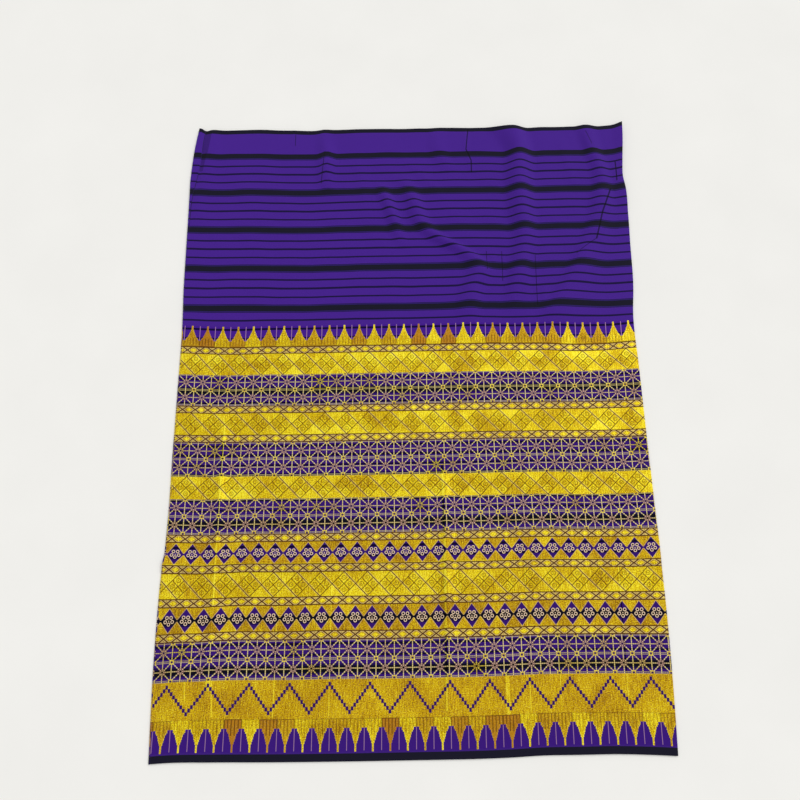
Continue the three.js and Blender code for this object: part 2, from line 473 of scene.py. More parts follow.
share = add(ground_cloth, MATH, {0: given["Down"], 1: LENGTH}, "DIVIDE")
stops = [
    (0, BLACK), (WAIST_SELVEDGE / LENGTH, PURPLE), (LAST_STRIPE / LENGTH, HEM_PURPLE),
    (HEM_SELVEDGE / LENGTH, BLACK),
]
edges = set_ramp(add(ground_cloth, RAMP, {0: share}), stops, "CONSTANT")
past = add(ground_cloth, MATH, {0: given["Down"], 1: FIRST_STRIPE}, "GREATER_THAN")
before = add(ground_cloth, MATH, {0: given["Down"], 1: LAST_STRIPE}, "LESS_THAN")
striped = add(ground_cloth, MATH, {0: past, 1: before}, "MULTIPLY")
dyed = add(ground_cloth, MIX, {0: striped, 6: edges, 7: stripes}, data_type="RGBA")
add(ground_cloth, "NodeGroupOutput", {"Colour": dyed.outputs[2]})


# Threads and creases of the skirt
# Gold film thread floats over the cotton in close rows, and years of folding have pressed
# sharp lines into both. Every thread of a pattern is a short straight line or a small ring.

SOFT_EDGE = 0.5      # mm over which a thread's edge fades into the cloth


def soft_mask(tree, gap, width):
    """1 where the gap to a thread's middle is within half its width, with a soft edge."""
    half = add(tree, MATH, {0: width, 1: 0.5, 2: SOFT_EDGE / 2}, "MULTIPLY_ADD")
    inside = add(tree, MATH, {0: half, 1: gap}, "SUBTRACT")
    return add(tree, MATH, {0: inside, 1: SOFT_EDGE}, "DIVIDE", use_clamp=True)


thread_line, given = new_group(
    "Thread line",
    {"Point": "Vector", "From": "Vector", "To": "Vector", "Width": "Float"},
    {"Mask": "Float"},
)
run = add(thread_line, VECTOR, {0: given["To"], 1: given["From"]}, "SUBTRACT")
off = add(thread_line, VECTOR, {0: given["Point"], 1: given["From"]}, "SUBTRACT")
along = add(thread_line, VECTOR, {0: off, 1: run}, "DOT_PRODUCT").outputs["Value"]
whole = add(thread_line, VECTOR, {0: run, 1: run}, "DOT_PRODUCT").outputs["Value"]
share = add(thread_line, MATH, {0: along, 1: whole}, "DIVIDE", use_clamp=True)
nearest = add(thread_line, VECTOR, {0: run, "Scale": share}, "SCALE")
gap = add(thread_line, VECTOR, {0: off, 1: nearest}, "DISTANCE").outputs["Value"]
add(thread_line, "NodeGroupOutput", {"Mask": soft_mask(thread_line, gap, given["Width"])})

thread_ring, given = new_group(
    "Thread ring",
    {"Point": "Vector", "Centre": "Vector", "Radius": "Float", "Width": "Float"},
    {"Mask": "Float"},
)
gap = add(thread_ring, VECTOR, {0: given["Point"], 1: given["Centre"]}, "DISTANCE")
gap = add(thread_ring, MATH, {0: gap.outputs["Value"], 1: given["Radius"]}, "SUBTRACT")
gap = add(thread_ring, MATH, {0: gap}, "ABSOLUTE")
add(thread_ring, "NodeGroupOutput", {"Mask": soft_mask(thread_ring, gap, given["Width"])})


def drawn(tree, point, lines=(), rings=()):
    """Mask of a chart: lines with the columns x and y of both ends and width, and rings with
    the columns x and y of the middle, radius and width, all in mm."""
    mask = 0.0
    for x0, y0, x1, y1, width in lines:
        ends = {"Point": point, "From": (x0, y0, 0), "To": (x1, y1, 0), "Width": width}
        thread = add(tree, GROUP, ends, node_tree=thread_line)
        mask = add(tree, MATH, {0: mask, 1: thread}, "MAXIMUM")
    for x, y, radius, width in rings:
        sizes = {"Point": point, "Centre": (x, y, 0), "Radius": radius, "Width": width}
        thread = add(tree, GROUP, sizes, node_tree=thread_ring)
        mask = add(tree, MATH, {0: mask, 1: thread}, "MAXIMUM")
    return mask


# Sharp pressed lines, mm from the left fold and from the waist edge, with their widths.
# Along these lines the cotton is darkened with painted shade and the gold lightened with a painted glint.
COTTON_CREASES = [
    (550, 5, 545, 50, 2.0), (545, 50, 555, 75, 2.4), (555, 75, 555, 100, 2.2), (790, 15, 800, 45, 1.0),
    (845, 85, 845, 125, 2.2), (830, 145, 810, 195, 3.0), (810, 195, 795, 250, 2.8),
    (795, 250, 755, 280, 1.0), (195, 10, 195, 35, 1.0), (255, 60, 250, 120, 1.2),
    (610, 270, 610, 330, 1.0), (675, 280, 675, 380, 1.0), (580, 270, 580, 310, 1.0),
]
GOLD_CREASES = [
    (90, 598, 90, 914, 3), (52, 1034, 54, 1062, 2.5), (96, 1034, 99, 1090, 2.5), (90, 1036, 92, 1046, 8),
    (485, 683, 485, 1084, 3.5), (198, 880, 198, 1090, 2), (290, 880, 290, 1090, 1.6),
    (587, 1031, 587, 1091, 7), (624, 820, 624, 1090, 1.6), (675, 930, 675, 1090, 1.6),
    (785, 850, 785, 1090, 1.6), (0, 848, 830, 849, 2),
]
# The sewn line itself lies in a groove, drawn as a bump and a line of painted shade, and a band
# of painted shade lies on the cloth over the seam's inner edges down to where they end.
SEAM_GROOVE_WIDTH = 1.6
SEAM_GROOVE_DOWN = [5, 105, 135, 160, 210]
SEAM_SHADE_BAND = [(20, 5, 15, 50, 12), (15, 50, 10, 90, 8)]

seam_x = between(SIDES, row_y, 1) + OUTER + between(SEAM, row_down, 1)
groove_across = np.interp(SEAM_GROOVE_DOWN, row_down, seam_x - FIRST_COLUMN).tolist()
groove = list(zip(groove_across, SEAM_GROOVE_DOWN))
SEAM_GROOVE = [(*start, *end, SEAM_GROOVE_WIDTH) for start, end in zip(groove, groove[1:])]

# The finish that every part of the cloth shares. Cover is where gold lies over the cotton, Line
# where a dark thread shows between the floats, Pale where the thread has the colour Tint, the
# pressed-line input where a sharp line is, with painted shade on the cotton and a painted glint
# on the gold, and Shadow where painted shade darkens the ground where it lies deep and beside the seam.
THREAD_PITCH = 2.4       # drawn four times coarser than the real 0.6 mm, which is too fine to show
GOLD_TONES = [
    (0.0, linear("#6A4503")), (0.25, linear("#9C7305")), (0.5, linear("#C79F08")),
    (0.7, linear("#DCBB0C")), (0.88, linear("#F4DE04")), (1.0, linear("#FFF03C")),
]
PALE_GOLD = linear("#EBD9A2")
WARM_GOLD = linear("#B9781A")
DARK_THREAD = linear("#583510")

finish, given = new_group(
    "Woven finish",
    {"Point": "Vector", "Ground": "Color", "Pressed shade and glint": "Float", "Shadow": "Float", "Cover": "Float",
     "Line": "Float", "Bright": "Float", "Warm": "Float", "Pale": "Float", "Tint": "Color"},
    {"Colour": "Color", "Metallic": "Float", "Roughness": "Float", "Normal": "Vector"},
)
# Unevenness of the thread: fine grain, streaks along single floats, and faint wide patches. On the
# gold they are partly the thread's own unevenness and partly painted glitter and sheen of the film.
stretched = add(finish, VECTOR, {0: given["Point"], 1: (1, 0.12, 1)}, "MULTIPLY")
grain = add(finish, NOISE, {"Vector": given["Point"], "Scale": 0.55, "Detail": 2.0, "Roughness": 0.7})
streak = add(finish, NOISE, {"Vector": stretched, "Scale": 0.5, "Detail": 1.0})
patch = add(finish, NOISE, {"Vector": given["Point"], "Scale": 0.02, "Detail": 2.0})

# Gold: each of these lightens it by its share, the pressed lines with a painted glint. Where Warm
# is given the streaks are more orange, and flecks are pale.
tone = -1.5
for source, share in (
    (grain, 2.4), (streak, 0.9), (patch, 0.7), (given["Bright"], 0.45), (given["Pressed shade and glint"], 0.34),
):
    tone = add(finish, MATH, {0: source, 1: share, 2: tone}, "MULTIPLY_ADD")
gold = set_ramp(add(finish, RAMP, {0: tone}), GOLD_TONES)
streak_share = add(finish, MATH, {0: given["Warm"], 1: streak}, "MULTIPLY")
streak_share = add(finish, MATH, {0: streak_share, 1: 1.7}, "MULTIPLY", use_clamp=True)
gold = add(finish, MIX, {0: streak_share, 6: gold, 7: WARM_GOLD}, data_type="RGBA").outputs[2]
fleck = add(finish, NOISE, {"Vector": given["Point"], "Scale": 0.8, "Detail": 1.0})
fleck = add(finish, MATH, {0: fleck, 1: 3.0, 2: -1.85}, "MULTIPLY_ADD", use_clamp=True)
gold = add(finish, MIX, {0: fleck, 6: gold, 7: PALE_GOLD}, data_type="RGBA").outputs[2]
gold = add(finish, MIX, {0: given["Pale"], 6: gold, 7: given["Tint"]}, data_type="RGBA").outputs[2]
gold = add(finish, MIX, {0: given["Line"], 6: gold, 7: DARK_THREAD}, data_type="RGBA").outputs[2]

# Cotton: grain lightens it, and painted shade darkens it along pressed lines and in deep places.
shade = 0.72
for source, share in ((grain, 0.5), (given["Pressed shade and glint"], -0.75), (given["Shadow"], -0.62)):
    shade = add(finish, MATH, {0: source, 1: share, 2: shade}, "MULTIPLY_ADD")
shade = add(finish, MATH, {0: shade, 1: 0.06}, "MAXIMUM")
cotton = add(finish, VECTOR, {0: given["Ground"], "Scale": shade}, "SCALE")
colour = add(finish, MIX, {0: given["Cover"], 6: cotton, 7: gold}, data_type="RGBA").outputs[2]

# Only the gold film is a little metallic and smoother than the cotton.
bare = add(finish, MATH, {0: 1.0, 1: given["Line"]}, "SUBTRACT")
film = add(finish, MATH, {0: given["Cover"], 1: bare}, "MULTIPLY")
metallic = add(finish, MATH, {0: film, 1: 0.3}, "MULTIPLY")
smooth = add(finish, MATH, {0: grain, 1: 0.3, 2: -0.5}, "MULTIPLY_ADD")
rough = add(finish, MATH, {0: film, 1: smooth, 2: 0.85}, "MULTIPLY_ADD")

# Relief in mm: threads over and under each other, the film on top of them, and pressed lines,
# which are grooves in the cotton and ridges in the gold.
across, down = add(finish, "ShaderNodeSeparateXYZ", {0: given["Point"]}).outputs[:2]
turn = 2 * math.pi / THREAD_PITCH
warp = add(finish, MATH, {0: across, 1: turn}, "MULTIPLY")
warp = add(finish, MATH, {0: warp}, "SINE")
weft = add(finish, MATH, {0: down, 1: turn}, "MULTIPLY")
weft = add(finish, MATH, {0: weft}, "SINE")
weave = add(finish, MATH, {0: warp, 1: weft}, "MULTIPLY")
height = add(finish, MATH, {0: weave, 1: 0.05}, "MULTIPLY")
height = add(finish, MATH, {0: film, 1: 0.3, 2: height}, "MULTIPLY_ADD")
height = add(finish, MATH, {0: grain, 1: 0.35, 2: height}, "MULTIPLY_ADD")
pressed = add(finish, MATH, {0: film, 1: 0.8, 2: -0.5}, "MULTIPLY_ADD")
height = add(finish, MATH, {0: given["Pressed shade and glint"], 1: pressed, 2: height}, "MULTIPLY_ADD")
relief = add(finish, "ShaderNodeBump", {"Height": height, "Distance": MM, "Strength": 1.0})
add(finish, "NodeGroupOutput", {
    "Colour": colour, "Metallic": metallic, "Roughness": rough, "Normal": relief,
})


def cloth_material(name):
    """A new material for one kind of band. Gives its tree, the point on the cloth, and the
    places across and down the band, in mm."""
    material = bpy.data.materials.new(name)
    material.use_nodes = True
    tree = material.node_tree
    points = []
    for uv_map in ("Cloth", "Band"):
        uv = add(tree, "ShaderNodeUVMap", uv_map=uv_map)
        points.append(add(tree, VECTOR, {0: uv, "Scale": 1 / MM}, "SCALE"))
    band = add(tree, "ShaderNodeSeparateXYZ", {0: points[1]})
    return tree, points[0], band.outputs[0], band.outputs[1]


def finish_cloth(tree, point, tint=PALE_GOLD, shadow=0.0, **threads):
    """Joins the ground, the threads over it and their finish to the material's shader."""
    down = add(tree, "ShaderNodeSeparateXYZ", {0: point}).outputs[1]
    ground = add(tree, GROUP, {"Down": down}, node_tree=ground_cloth)
    # Sharp pressed lines, which carry painted shade on the cotton and a painted glint on the gold.
    pressed = drawn(tree, point, GOLD_CREASES if threads else COTTON_CREASES + SEAM_GROOVE)
    sockets = {"Point": point, "Ground": ground, "Pressed shade and glint": pressed, "Shadow": shadow, "Tint": tint}
    sockets.update(threads)
    made = add(tree, GROUP, sockets, node_tree=finish).outputs
    shader = tree.nodes["Principled BSDF"]
    tree.links.new(made["Colour"], shader.inputs["Base Color"])
    tree.links.new(made["Roughness"], shader.inputs["Roughness"])
    tree.links.new(made["Normal"], shader.inputs["Normal"])
    if threads:
        shader.inputs["Specular IOR Level"].default_value = 0.06
        tree.links.new(made["Metallic"], shader.inputs["Metallic"])
    else:
        shader.inputs["Specular IOR Level"].default_value = 0.15
        shader.inputs["Sheen Weight"].default_value = 0.03
        shader.inputs["Sheen Roughness"].default_value = 0.5


# Striped cotton above the pattern and below it: matt, with a faint bloom of fibres.
tree, point, across, down = cloth_material("striped cotton")
# Painted shade in a band beside the seam's inner edges.
seam_shadow = drawn(tree, point, SEAM_SHADE_BAND)
seam_shadow = add(tree, MATH, {0: seam_shadow, 1: 0.5}, "MULTIPLY")
finish_cloth(tree, point, shadow=seam_shadow)


BAND_APART = 50.0        # mm, coarse enough to give each band one number from its top's place


def random_by_number(tree, point, down, column, row=0.0):
    """A random value from 0 to 1 for each whole number of column and of row, in each band."""
    top = add(tree, "ShaderNodeSeparateXYZ", {0: point}).outputs[1]
    top = add(tree, MATH, {0: top, 1: down}, "SUBTRACT")
    top = add(tree, MATH, {0: top, 1: BAND_APART}, "DIVIDE")
    top = add(tree, MATH, {0: top}, "ROUND")
    column = add(tree, MATH, {0: column}, "FLOOR")
    row = add(tree, MATH, {0: row}, "FLOOR")
    place = add(tree, "ShaderNodeCombineXYZ", {0: column, 1: row, 2: top})
    return add(tree, "ShaderNodeTexWhiteNoise", {"Vector": place}, noise_dimensions="3D")


def mirrored(tree, across, space, down):
    """Distance from the nearest motif's middle line, and the point that it makes with down."""
    aside = add(tree, MATH, {0: across, 1: space / 2}, "PINGPONG")
    return aside, add(tree, "ShaderNodeCombineXYZ", {0: aside, 1: down})


# Spires
# Two rows of stepped spires close the patterned part, points up at its top and points down at
# its hem, in orange gold, each brighter or darker and more or less orange at random as a painted
# sheen of its floats. A lilac thread stands in each gap.

SPIRE_HALF = 16.0        # the half width that white stands for in the ramps below
SPIRE_RIM = 1.6          # width of the brighter thread along a spire's edge, mm
# Half width of a spire in mm, from the place down the band in mm where it starts.
SPIRES_UP = [(0, 1.9), (7.8, 3.1), (11, 4.2), (13.6, 5.5), (17, 6.6), (19, 7.8), (22.5, 9.5), (24, 11),
             (26.5, 12.3), (28, 16)]
SPIRES_DOWN = [(0, 16), (14, 10), (18.4, 8.3), (21.1, 6.3), (25.3, 5.3), (29.4, 4.2), (33, 3), (36.8, 1.75)]
LILAC = linear("#A57DA2")

for name, space, height, steps, lilac, dark_lines in (
    ("gold spires up", 28.45, 40, SPIRES_UP, (1, 28, 1.3),
     [(0, 39.4, 15, 39.4, 1.6), (3, 24, 3, 37, 1.2), (8.6, 27, 8.6, 37, 1.2), (13.5, 29, 13.5, 37, 1.2)]),
    ("gold spires down", 28.56, 50, SPIRES_DOWN, (13, 47, 1.1),
     [(0, 0.5, 15, 0.5, 1.6), (14.2, 0, 14.2, 14, 2.4), (2.8, 2, 2.8, 24, 1.5), (8.5, 2, 8.5, 13, 1.5)]),
):
    tree, point, across, down = cloth_material(name)
    aside, folded = mirrored(tree, across, space, down)
    share = add(tree, MATH, {0: down, 1: height}, "DIVIDE")
    stops = [(place / height, grey(half / SPIRE_HALF)) for place, half in steps]
    half = set_ramp(add(tree, RAMP, {0: share}), stops, "CONSTANT")
    half = add(tree, MATH, {0: half, 1: SPIRE_HALF}, "MULTIPLY")
    inside = add(tree, MATH, {0: half, 1: aside}, "SUBTRACT")
    spire = add(tree, MATH, {0: inside, 1: SOFT_EDGE}, "DIVIDE", use_clamp=True)
    first, last, width = lilac
    lilac = drawn(tree, folded, [(space / 2, first, space / 2, last, width)])
    # A random value for each spire sets its painted sheen, how bright and how orange it is, and how strong
    # its dark lines show.
    number = add(tree, MATH, {0: across, 1: space}, "DIVIDE")
    number = add(tree, MATH, {0: number, 1: 0.5}, "ADD")
    motif_random = random_by_number(tree, point, down, number)
    line = drawn(tree, folded, dark_lines)
    streak_share = add(tree, MATH, {0: motif_random, 1: -0.6, 2: 0.9}, "MULTIPLY_ADD")
    line = add(tree, MATH, {0: line, 1: streak_share}, "MULTIPLY")
    warm = add(tree, MATH, {0: motif_random, 1: -1.2, 2: 0.85}, "MULTIPLY_ADD")
    bright = add(tree, MATH, {0: motif_random, 1: 0.9, 2: -0.4}, "MULTIPLY_ADD")
    rim = add(tree, MATH, {0: inside, 1: SPIRE_RIM}, "LESS_THAN")
    bright = add(tree, MATH, {0: rim, 1: 0.35, 2: bright}, "MULTIPLY_ADD")
    cover = add(tree, MATH, {0: spire, 1: lilac}, "MAXIMUM")
    pale = add(tree, MATH, {0: 1.0, 1: spire}, "SUBTRACT")
    finish_cloth(tree, point, LILAC, Cover=cover, Line=line, Bright=bright, Warm=warm, Pale=pale)


# Chain bands
# Narrow bands that part the others: a row of bright lozenges of gold between crossed dark
# threads, with a dark thread along each edge.

CHAIN_SPACE = 22.87
CHAIN_MIDDLE = 7.0
CHAIN_LOZENGE = (5.8, 3.3)   # half width, half height, mm
# Charts of half a link. Columns: x and y of both ends of a thread, mm, and its width.
CHAIN_LINES = [
    (0, 0.8, 11.4, 0.8, 1.8), (0, 13.2, 11.4, 13.2, 1.8),
    (11.4, 7, 3.5, 1.4, 2.0), (11.4, 7, 3.5, 12.6, 2.0),
]
CHAIN_HALO = [
    (11.4, 7, 3.5, 1.4, 4.2), (11.4, 7, 3.5, 12.6, 4.2), (0, 2.4, 11.4, 2.4, 1.2), (0, 11.6, 11.4, 11.6, 1.2),
]


def lozenge_reach(tree, aside, down, middle, half):
    """Grows from 0 in the middle of a lozenge to 1 at its edge. Half is its half width and
    half height."""
    off = add(tree, MATH, {0: down, 1: middle}, "SUBTRACT")
    off = add(tree, MATH, {0: off}, "ABSOLUTE")
    off = add(tree, MATH, {0: off, 1: half[1]}, "DIVIDE")
    return add(tree, MATH, {0: aside, 1: 1 / half[0], 2: off}, "MULTIPLY_ADD")


tree, point, across, down = cloth_material("gold chain")
aside, folded = mirrored(tree, across, CHAIN_SPACE, down)
line = drawn(tree, folded, CHAIN_LINES)
halo = drawn(tree, folded, CHAIN_HALO)
halo = add(tree, MATH, {0: halo, 1: 0.45}, "MULTIPLY")
off = lozenge_reach(tree, aside, down, CHAIN_MIDDLE, CHAIN_LOZENGE)
lozenge = add(tree, MATH, {0: off, 1: 1.0}, "LESS_THAN")
bright = add(tree, MATH, {0: lozenge, 1: 0.9, 2: -0.15}, "MULTIPLY_ADD")
finish_cloth(tree, point, Cover=1.0, Line=line, Bright=bright, Warm=0.0, Pale=halo)


# Lattice bands
# Gold covers these bands. Slanting dark threads part it into squares on their points, each
# quartered and with a ring and a dot in every quarter, and plain triangles between them.

LATTICE_SPACE = 40.3
LATTICE_MIDDLE = 20.0
HALF_LATTICE = LATTICE_SPACE / 2
QUARTER = LATTICE_SPACE / 4
SLANT_HALF = 0.95            # half width of a slanting thread, mm
CROSS_HALF = 0.9             # and of the cross that quarters a square
HALO_HALF = 2.6              # and of the paler gold along a slanting thread
SQUARE_INSET = 0.5
QUARTER_RINGS = [(QUARTER, QUARTER, 4.6, 1.3), (QUARTER, QUARTER, 0, 2.2)]

tree, point, across, down = cloth_material("gold lattice")
side = add(tree, MATH, {0: across, 1: HALF_LATTICE, 2: -HALF_LATTICE}, "WRAP")
low = add(tree, MATH, {0: down, 1: LATTICE_MIDDLE}, "SUBTRACT")
slant_up = add(tree, MATH, {0: side, 1: low}, "ADD")
slant_down = add(tree, MATH, {0: side, 1: low}, "SUBTRACT")
threads = []
for slant in (slant_down, slant_up):
    gap = add(tree, MATH, {0: slant, 1: HALF_LATTICE}, "SUBTRACT")
    gap = add(tree, MATH, {0: gap, 1: HALF_LATTICE}, "PINGPONG")
    thread = add(tree, MATH, {0: gap, 1: SLANT_HALF}, "LESS_THAN")
    threads.append((gap, thread))
(strong_gap, strong), (_, faint) = threads
halo = add(tree, MATH, {0: strong_gap, 1: HALO_HALF}, "LESS_THAN")
halo = add(tree, MATH, {0: halo, 1: 0.25}, "MULTIPLY")
fold_up = add(tree, MATH, {0: slant_up}, "ABSOLUTE")
fold_down = add(tree, MATH, {0: slant_down}, "ABSOLUTE")
farther = add(tree, MATH, {0: fold_up, 1: fold_down}, "MAXIMUM")
square = add(tree, MATH, {0: farther, 1: HALF_LATTICE - SQUARE_INSET}, "LESS_THAN")
nearer = add(tree, MATH, {0: fold_up, 1: fold_down}, "MINIMUM")
cross = add(tree, MATH, {0: nearer, 1: CROSS_HALF}, "LESS_THAN")
quarter = add(tree, "ShaderNodeCombineXYZ", {0: fold_up, 1: fold_down})
ring = drawn(tree, quarter, (), QUARTER_RINGS)
ring = add(tree, MATH, {0: ring, 1: 0.75}, "MULTIPLY")
cross = add(tree, MATH, {0: cross, 1: 0.9}, "MULTIPLY")
cross = add(tree, MATH, {0: cross, 1: ring}, "MAXIMUM")
inner = add(tree, MATH, {0: square, 1: cross}, "MULTIPLY")
faint = add(tree, MATH, {0: faint, 1: 0.85}, "MULTIPLY")
line = add(tree, MATH, {0: strong, 1: faint}, "MAXIMUM")
line = add(tree, MATH, {0: line, 1: inner}, "MAXIMUM")

# Triangles and squares differ in brightness at random, a few squares are much brighter, and faint
# wide clouds lie over all: a painted sheen of their floats.
number = add(tree, MATH, {0: across, 1: LATTICE_SPACE}, "DIVIDE")
half = add(tree, MATH, {0: down, 1: LATTICE_MIDDLE}, "DIVIDE")
plain = random_by_number(tree, point, down, number, half)
up_number = add(tree, MATH, {0: slant_up, 1: HALF_LATTICE}, "DIVIDE")
down_number = add(tree, MATH, {0: slant_down, 1: HALF_LATTICE}, "DIVIDE")
pieced = random_by_number(tree, point, down, up_number, down_number)
pieced = add(tree, MATH, {0: pieced, 1: 4.0}, "POWER")
pieced = add(tree, MATH, {0: pieced, 1: 1.3, 2: 0.25}, "MULTIPLY_ADD")
motif_random = add(tree, MIX, {0: square, 2: plain, 3: pieced}, data_type="FLOAT")
cloud = add(tree, NOISE, {"Vector": point, "Scale": 0.012, "Detail": 1.0})
bright = add(tree, MATH, {0: motif_random, 1: 0.42, 2: -0.33}, "MULTIPLY_ADD")
bright = add(tree, MATH, {0: cloud, 1: 1.2, 2: bright}, "MULTIPLY_ADD")
finish_cloth(tree, point, Cover=1.0, Line=line, Bright=bright, Warm=0.0, Pale=halo)


# Net bands
# Single gold threads couched on the purple ground in an open net of eight-pointed stars, with
# a bright knot at every other crossing.

NET_SPACE = 30.7
NET_ROW = 29.25
HALF_NET = NET_SPACE / 2
HALF_ROW = NET_ROW / 2
NET_BEADS = 10               # beads that the thread's floats make along half a space
NET_LINES = [
    (0, 0, 0, HALF_ROW, 1.4), (0, 0, HALF_NET, HALF_ROW, 1.5), (HALF_NET, 0, HALF_NET, HALF_ROW, 1.4),
    (0, 1.2, HALF_NET, 1.2, 1.0),
]
STAR_ROW = [(0, HALF_ROW, HALF_NET, HALF_ROW, 1.4)]
KNOT = [(0, 0, 3.0, 1.5)]
STAR = [(HALF_NET, HALF_ROW, 5, 0.8)]
HOLES = [(HALF_NET, HALF_ROW, 0, 3.4), (0, 0, 0, 2.6)]
SHADE_AND_MAUVE_PLACES = [(HALF_NET, HALF_ROW, 0, 14), (0, 0, 0, 6)]
CREAM = linear("#FFEAA0")
MAUVE = linear("#DDB2A4")

tree, point, across, down = cloth_material("gold net")
below = add(tree, MATH, {0: down, 1: HALF_ROW}, "PINGPONG")
aside, folded = mirrored(tree, across, NET_SPACE, below)
knot = drawn(tree, folded, (), KNOT)
dull = drawn(tree, folded, STAR_ROW)
net = drawn(tree, folded, NET_LINES, STAR + KNOT)
net = add(tree, MATH, {0: net, 1: dull}, "MAXIMUM")
holes = drawn(tree, folded, (), HOLES)
bead_aside = add(tree, MATH, {0: aside, 1: HALF_NET / NET_BEADS}, "PINGPONG")
bead_below = add(tree, MATH, {0: below, 1: HALF_ROW / NET_BEADS}, "PINGPONG")
bead = add(tree, "ShaderNodeCombineXYZ", {0: bead_aside, 1: bead_below})
bead = drawn(tree, bead, (), [(0, 0, 0, 2.2)])
bead = add(tree, MATH, {0: bead, 1: 0.6, 2: 0.4}, "MULTIPLY_ADD")
bead = add(tree, MATH, {0: bead, 1: knot}, "MAXIMUM")
cover = add(tree, MATH, {0: net, 1: bead}, "MULTIPLY")
open_ground = add(tree, MATH, {0: 1.0, 1: holes}, "SUBTRACT")
cover = add(tree, MATH, {0: cover, 1: open_ground}, "MULTIPLY")
# Painted shade on the ground all over the net, deepest round the stars' middles and the knots, where the
# thread is also mauve.
near = drawn(tree, folded, (), SHADE_AND_MAUVE_PLACES)
shadow = add(tree, MATH, {0: near, 1: 0.5, 2: 0.6}, "MULTIPLY_ADD")
tint = add(tree, MIX, {0: near, 6: CREAM, 7: MAUVE}, data_type="RGBA").outputs[2]
column = add(tree, MATH, {0: across, 1: NET_SPACE}, "DIVIDE")
row = add(tree, MATH, {0: down, 1: NET_ROW}, "DIVIDE")
rich = random_by_number(tree, point, down, column, row)
rich = add(tree, MATH, {0: rich, 1: 7.0}, "POWER")
rich = add(tree, MATH, {0: rich, 1: knot}, "MAXIMUM")
pale = add(tree, MATH, {0: rich, 1: -0.8, 2: 0.85}, "MULTIPLY_ADD")
bright = add(tree, MATH, {0: rich, 1: 0.45, 2: 0.1}, "MULTIPLY_ADD")
line = add(tree, MATH, {0: dull, 1: 0.25}, "MULTIPLY")
finish_cloth(
    tree, point, tint, shadow=shadow, Cover=cover, Line=line, Bright=bright, Warm=0.0, Pale=pale)


# Flower bands
# Gold with a row of purple lozenges left open in it, and in each a flower of five small rings
# couched in pale thread. A small spot of the ground joins each lozenge to the next.

FLOWER_SPACE = 28.45
FLOWER_MIDDLE = 19.5
LOZENGE = (14.5, 18.2)       # half width, half height, mm
JOINTS = [(FLOWER_SPACE / 2, FLOWER_MIDDLE, 0, 3.0)]
PETALS = [(3.6, 14.6, 2.3, 1.3), (6.1, 20.9, 2.3, 1.3), (0, 24.6, 2.3, 1.3), (0, 19.5, 0, 1.8)]
PETAL_HOLES = [(3.6, 14.6, 0, 3.4), (6.1, 20.9, 0, 3.4), (0, 24.6, 0, 3.4)]
PINK_CREAM = linear("#EED2B4")

tree, point, across, down = cloth_material("gold flowers")
aside, folded = mirrored(tree, across, FLOWER_SPACE, down)
off = lozenge_reach(tree, aside, down, FLOWER_MIDDLE, LOZENGE)
off = add(tree, MATH, {0: off, 1: 0.98}, "SUBTRACT")
gold_part = add(tree, MATH, {0: off, 1: 20.0}, "MULTIPLY", use_clamp=True)
rim = add(tree, MATH, {0: off, 1: 0.1}, "LESS_THAN")
rim = add(tree, MATH, {0: rim, 1: 0.35}, "MULTIPLY")
joined = drawn(tree, folded, (), JOINTS)
petals = drawn(tree, folded, (), PETALS)
# Painted shade on the open ground of the lozenges, deepest inside the petal rings.
shadow = drawn(tree, folded, (), PETAL_HOLES)
shadow = add(tree, MATH, {0: shadow, 1: 0.8, 2: 0.65}, "MULTIPLY_ADD")
open_line = add(tree, MATH, {0: 1.0, 1: joined}, "SUBTRACT")
cover = add(tree, MATH, {0: gold_part, 1: open_line}, "MULTIPLY")
cover = add(tree, MATH, {0: cover, 1: petals}, "MAXIMUM")
pale = add(tree, MATH, {0: petals, 1: rim}, "MAXIMUM")
number = add(tree, MATH, {0: across, 1: FLOWER_SPACE}, "DIVIDE")
half = add(tree, MATH, {0: down, 1: FLOWER_MIDDLE}, "DIVIDE")
motif_random = random_by_number(tree, point, down, number, half)
bright = add(tree, MATH, {0: motif_random, 1: 0.6, 2: -0.3}, "MULTIPLY_ADD")
finish_cloth(
    tree, point, PINK_CREAM, shadow=shadow, Cover=cover, Line=0.0, Bright=bright, Warm=0.15, Pale=pale)


# Zigzag band
# A broad gold band with one stepped zigzag of dark purple thread running through it.

ZIGZAG_SPACE = 66.66
STEP = ZIGZAG_SPACE / 16     # mm across in one step of the line
SLOPE = 1.29                 # how far it runs down for its way across
ZIGZAG_TOP = 7.5             # middle of its upper turns, mm down the band
ZIGZAG_HALF = 3.15           # half the height of the line
ZIGZAG_PURPLE = linear("#36125F")

tree, point, across, down = cloth_material("gold zigzag")
aside = add(tree, MATH, {0: across, 1: ZIGZAG_SPACE / 2}, "PINGPONG")
stepped = add(tree, MATH, {0: aside, 1: STEP / 2}, "ADD")
stepped = add(tree, MATH, {0: stepped, 1: STEP}, "SNAP")
middle = add(tree, MATH, {0: stepped, 1: SLOPE, 2: ZIGZAG_TOP}, "MULTIPLY_ADD")
off = add(tree, MATH, {0: down, 1: middle}, "SUBTRACT")
off = add(tree, MATH, {0: off}, "ABSOLUTE")
off = add(tree, MATH, {0: off, 1: ZIGZAG_HALF - SOFT_EDGE / 2}, "SUBTRACT")
off = add(tree, MATH, {0: off, 1: SOFT_EDGE}, "DIVIDE", use_clamp=True)
purple = add(tree, MATH, {0: 1.0, 1: off}, "SUBTRACT")
finish_cloth(tree, point, ZIGZAG_PURPLE, Cover=1.0, Line=0.0, Bright=0.08, Warm=0.2, Pale=purple)

